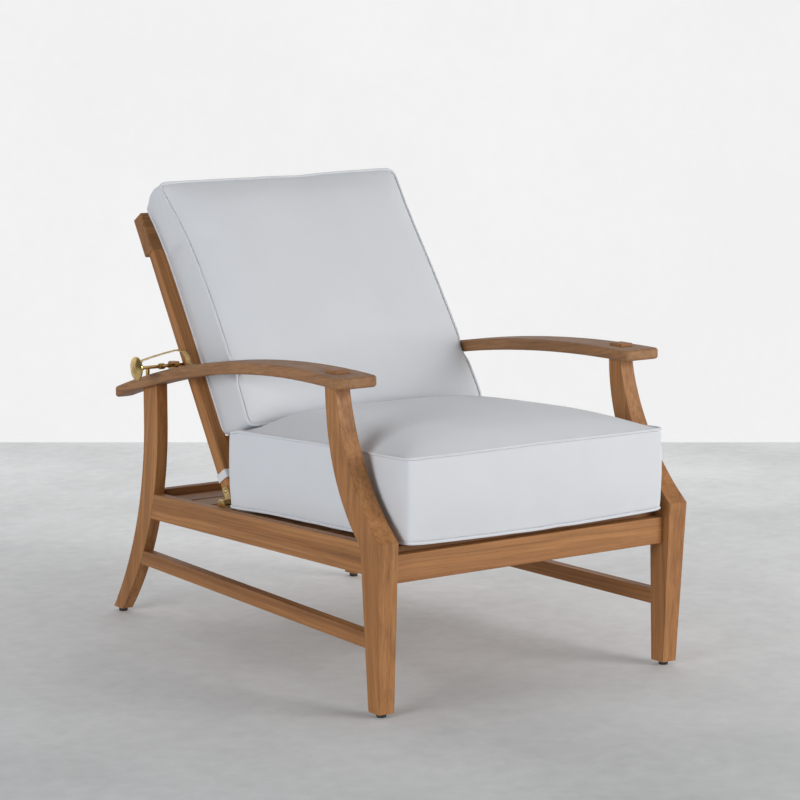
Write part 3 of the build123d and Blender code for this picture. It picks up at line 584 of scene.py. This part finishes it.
def shifted(points):
    return [(y + middleY, z) for y, z in points]


def plane(y, z, ny, nz, gap):
    # Plane through a point with a normal, moved out by a gap
    size = math.hypot(ny, nz)
    return (y + middleY + gap * ny / size, z + gap * nz / size, ny / size, nz / size)


# What the covers are kept out of: the deck under the seat cushion, the stiles' front, and the sill
# along which the back cushion's foot rests on the seat cushion's top
deck = plane(0, 0.2861, math.tan(math.radians(2.6)), 1, gap=0.0008)
stileFront = plane(0.2512, 0.3054, -1, 0.643, gap=0.0008)
sillUp = plane(0.152, 0.451, 0.046, 0.163, gap=0.0010)
sillDown = plane(0.152, 0.451, -0.046, -0.163, gap=0.0012)
brow = plane(0.146, 0.455, -1, -1, gap=0.0010)

# The base and the face are lines (y, z) from front to rear, or from foot to head; pairs go base and face,
# or foot and head. Draws pull the middle of an edge in, and puffs and crowns fill it out.
coverLook = dict(thick=0.15, drawPower=0.9, flarePower=4, puffFade=0.4, puffPower=6, seamHold=0.35, cap=0.008,
                 evenRounds=8, pucker=0.0007, puckerReach=0.016, fill=0.85, armGap=0.0045)
seatLook = dict(
    coverLook, halfWidths=(0.2968, 0.2968), halfLength=0.3, cells=(64, 64, 15), corners=(0.011, 0.011),
    base=shifted([(-0.376, 0.316), (0.226, 0.291)]), face=shifted([(-0.376, 0.464), (0.226, 0.439)]),
    sideDraws=(0.006, 0.007), endDraw=0.003, sidePuffs=(0.003, 0.003), endPuffs=(0.003, 0.003), flares=(0, 0),
    faceCrown=0.038, faceBow=0.0, baseCrown=0.010, baseSag=0.009, skew=0, sideShare=0.6,
    crownPowers=(3.4, 3.4), crownRound=0.85, seed=4, pipingOut=0.0008, blocks=[[deck], [sillDown, brow]], walls=[])
backLook = dict(
    coverLook, halfWidths=(0.2440, 0.2820), halfLength=0.287, cells=(62, 62, 15), corners=(0.010, 0.017),
    base=shifted([(0.3205, 0.408), (0.603, 0.855)]), face=shifted([(0.169, 0.450), (0.498, 0.905)]),
    sideDraws=(0.002, 0.006), endDraw=0.002, sidePuffs=(0.0, 0.008), endPuffs=(0.004, 0.016),
    flares=(0.012, 0.009), faceCrown=0.024, faceBow=0.018, baseCrown=0.0, baseSag=0.0, skew=0.006,
    sideShare=0.4, crownPowers=(5.0, 7.0), crownRound=0.6, seed=9, pipingOut=0.0006,
    blocks=[[stileFront], [sillUp]], walls=armWalls(steps=5))

makeCushion("seat_cover", "seat_cushion", seatLook, "frame")
makeCushion("back_cover", "back_cushion", backLook, "back")

tieLook = dict(gauge=0.0016, slack=0.0007, corner=0.0026, cornerSteps=5, edgeShare=0.4, stitch=0.0036, rows=0.36,
               threadRadius=0.0004, threadLength=3.2, threadSides=8, threadRings=6)


def tieTree(look):
    # A tape swept round a rounded rectangle, with two rows of stitches on its outer face
    tree, start = newTree("tieTree", {"Float": ["Width", "Depth", "Height", "Gauge", "Corner", "Stitch"],
                                      "Vector": ["Place", "Turn"], "Material": ["Material"]})

    def loop(width, depth, corner):
        shape = add(tree, "GeometryNodeCurvePrimitiveQuadrilateral", Width=width, Height=depth)
        rounded = add(tree, "GeometryNodeFilletCurve", {"mode": "POLY"}, Curve=shape.outputs[0],
                      Count=look["cornerSteps"], Radius=corner)
        return add(tree, "GeometryNodeSetCurveNormal", {"mode": "Z_UP"}, Curve=rounded.outputs[0]).outputs[0]

    edge = calc(tree, "MULTIPLY", start["Gauge"], look["edgeShare"])
    tape = add(tree, "GeometryNodeCurveToMesh", Curve=loop(start["Width"], start["Depth"], start["Corner"]),
               Profile_Curve=loop(start["Gauge"], start["Height"], edge))
    join = add(tree, "GeometryNodeJoinGeometry")
    outside = [calc(tree, "ADD", start[name], start["Gauge"]) for name in ("Width", "Depth")]
    run = add(tree, "GeometryNodeResampleCurve", {"mode": "LENGTH"}, Curve=loop(*outside, start["Corner"]),
              Length=start["Stitch"])
    along = add(tree, "GeometryNodeInputTangent")
    aim = add(tree, "FunctionNodeAlignRotationToVector", {"axis": "X"}, Vector=along.outputs[0])
    thread = add(tree, "GeometryNodeMeshUVSphere", Segments=look["threadSides"], Rings=look["threadRings"],
                 Radius=look["threadRadius"])
    for row in (-look["rows"], look["rows"]):
        lift = add(tree, "ShaderNodeCombineXYZ", Z=calc(tree, "MULTIPLY", start["Height"], row))
        moved = add(tree, "GeometryNodeSetPosition", Geometry=run.outputs[0], Offset=lift.outputs[0])
        sewn = add(tree, "GeometryNodeInstanceOnPoints", Points=moved.outputs[0], Instance=thread.outputs["Mesh"],
                   Rotation=aim.outputs[0], Scale=(look["threadLength"], 1, 1))
        wire(tree, join, i0=sewn.outputs[0])
    wire(tree, join, i0=tape.outputs[0])
    turned = add(tree, "GeometryNodeTransform", Geometry=join.outputs[0], Rotation=start["Turn"],
                 Translation=start["Place"])
    endTree(tree, turned.outputs[0], start["Material"])
    return tree


def uvByFace(obj):
    # Each face is laid flat along the two axes that it faces least
    layer = obj.data.uv_layers.new(name="UVMap")
    for poly in obj.data.polygons:
        away = max(range(3), key=lambda n: abs(poly.normal[n]))
        first, second = [n for n in range(3) if n != away]
        for l in poly.loop_indices:
            co = obj.data.vertices[obj.data.loops[l].vertex_index].co
            layer.data[l].uv = (co[first], co[second])


band = tieTree(tieLook)
across, outward, upward = Vector((1, 0, 0)), Vector((0, math.cos(lean), -math.sin(lean))), Vector(upStile)
for side in ("left", "right"):
    nodeName = "cushion_tie_" + side
    # The tape is fitted to the solid's extents across the stile, out from it and up it
    reach = [[v.co.dot(axis) for v in frame["nodes"][nodeName].data.vertices] for axis in (across, outward, upward)]
    spans = [(min(r), max(r)) for r in reach]
    width, depth, height = [high - low for low, high in spans]
    middle = [(low + high) / 2 for low, high in spans]
    slim = 2 * tieLook["slack"] - tieLook["gauge"]
    tie = newObject("tie_" + side, bpy.data.meshes.new("tie_" + side))
    runTree(tie, band, {
        "Width": width + slim, "Depth": depth + slim, "Height": height, "Gauge": tieLook["gauge"],
        "Corner": tieLook["corner"], "Stitch": tieLook["stitch"], "Turn": (-lean, 0, 0), "Material": tapeCloth,
        "Place": Vector((middle[0], 0, 0)) + outward * middle[1] + upward * middle[2]})
    uvByFace(tie)
    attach(tie, "back")
    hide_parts(nodeName)
print("ties made")

cameraLook = dict(place=(-2.91787, -4.0504 + middleY, 1.24293), azimuth=35.33984, pitch=8.48536, lens=118.107,
                  sensor=36)
camera = newObject("camera", bpy.data.cameras.new("camera"))
camera.location = cameraLook["place"]
camera.rotation_euler = (math.radians(90 - cameraLook["pitch"]), 0, math.radians(-cameraLook["azimuth"]))
camera.data.lens = cameraLook["lens"]
camera.data.sensor_width = cameraLook["sensor"]
scene.camera = camera
azimuth = math.radians(cameraLook["azimuth"])
ahead, right = Vector((math.sin(azimuth), math.cos(azimuth), 0)), Vector((math.cos(azimuth), -math.sin(azimuth), 0))

mottleLook = dict(wide=(1.3, 8.0, 0.62), fine=(26.0, 6.0, 0.6), wideShare=0.7, fineShare=0.3)
# The floor's near and far colours and its glow are painted light: the floor is made lighter and made to glow away
# from the camera
floorLook = {"near": (0.58, 0.585, 0.59), "far": (0.86, 0.865, 0.87), "from": -1.6, "to": 1.6, "spread": 0.22,
             "glow": 0.16, "roughness": 0.9, "specular": 0.2, "bump": 0.25, "depth": 0.002}
wallLook = dict(tone=0.86, spread=0.02, glow=1.0, base=(0.02, 0.02, 0.02, 1), roughness=1.0)
room = dict(front=-3, rear=7.5, height=6, halfWidth=9)  # distances from the camera along the view


def mottle(tree):
    place = add(tree, "ShaderNodeTexCoord").outputs["Object"]
    wide, fine = [noise(tree, place, *mottleLook[key]).outputs[0] for key in ("wide", "fine")]
    mixed = calc(tree, "ADD", calc(tree, "MULTIPLY", wide, mottleLook["wideShare"]),
                 calc(tree, "MULTIPLY", fine, mottleLook["fineShare"]))
    return place, fine, mixed


def floorWithPaintedLight(look):
    # Pale concrete with painted light: its colour gets lighter and it glows more away from the camera, standing for
    # the light on the far floor
    mat, tree, shader = newMaterial("floor")
    place, fine, mixed = mottle(tree)
    depth = add(tree, "ShaderNodeVectorMath", {"operation": "DOT_PRODUCT"}, i0=place, i1=ahead).outputs["Value"]
    far = add(tree, "ShaderNodeMapRange", Value=depth, From_Min=look["from"], From_Max=look["to"]).outputs[0]
    spread = ramp(tree, mixed, [(0.35, 1 - look["spread"]), (0.65, 1.0)])
    tone = mixColour(tree, 1.0, mixColour(tree, far, look["near"], look["far"]), spread, "MULTIPLY")
    wire(tree, shader, Base_Color=tone, Emission_Color=tone, Roughness=look["roughness"],
         Emission_Strength=calc(tree, "MULTIPLY", far, look["glow"]), Specular_IOR_Level=look["specular"])
    emboss(tree, shader, fine, look)
    return mat


def wallMaterial(look):
    # A backdrop with its own even light
    mat, tree, shader = newMaterial("wall")
    mixed = mottle(tree)[2]
    low, high = [look["tone"] * (1 + f) for f in (-look["spread"], look["spread"])]
    wire(tree, shader, Emission_Color=ramp(tree, mixed, [(0.35, low), (0.65, high)]),
         Emission_Strength=look["glow"], Base_Color=look["base"], Roughness=look["roughness"])
    return mat


def studioSheet(name, profile, mat):
    # A sheet swept across the view: profile is a list of (distance along the view, height)
    mesh = bpy.data.meshes.new(name)
    origin = Vector((cameraLook["place"][0], cameraLook["place"][1], 0))
    points = [origin + ahead * far + right * side + Vector((0, 0, high))
              for far, high in profile for side in (-room["halfWidth"], room["halfWidth"])]
    mesh.from_pydata(points, [], [(2 * n, 2 * n + 1, 2 * n + 3, 2 * n + 2) for n in range(len(profile) - 1)])
    for f in mesh.polygons:
        f.use_smooth = True
    mesh.materials.append(mat)
    newObject(name, mesh)


studioSheet("floor", [(room["front"], 0), (room["rear"], 0)], floorWithPaintedLight(floorLook))
studioSheet("wall", [(room["rear"], 0), (room["rear"], room["height"])], wallMaterial(wallLook))

worldLook = dict(colour=(0.93, 0.96, 1.0, 1), strength=0.15)
world = bpy.data.worlds.new("world")
scene.world = world
world.use_nodes = True
wire(world.node_tree, world.node_tree.nodes["Background"], Color=worldLook["colour"],
     Strength=worldLook["strength"])

lights = {
    "key": dict(place=(2.4, -4.5, 1.6), target=(0, 0, 0.4), size=(3.0, 2.2), power=190, colour=(1.0, 0.985, 0.96)),
    "side": dict(place=(-4.2, -1.2, 1.3), target=(0, 0, 0.45), size=(2.6, 1.8), power=105, colour=(0.97, 0.985, 1.0)),
    "top": dict(place=(0.4, 0.4, 4.6), target=(0, 0, 0), size=(4.0, 4.0), power=12, colour=(1, 1, 1)),
}
for name, look in lights.items():
    data = bpy.data.lights.new(name, "AREA")
    data.shape = "RECTANGLE"
    data.size, data.size_y = look["size"]
    data.energy = look["power"]
    data.color = look["colour"]
    softbox = newObject(name, data)
    softbox.location = look["place"]
    softbox.rotation_euler = (Vector(look["target"]) - Vector(look["place"])).to_track_quat("-Z", "Y").to_euler()

scene.view_settings.view_transform = "Standard"
print("studio made")
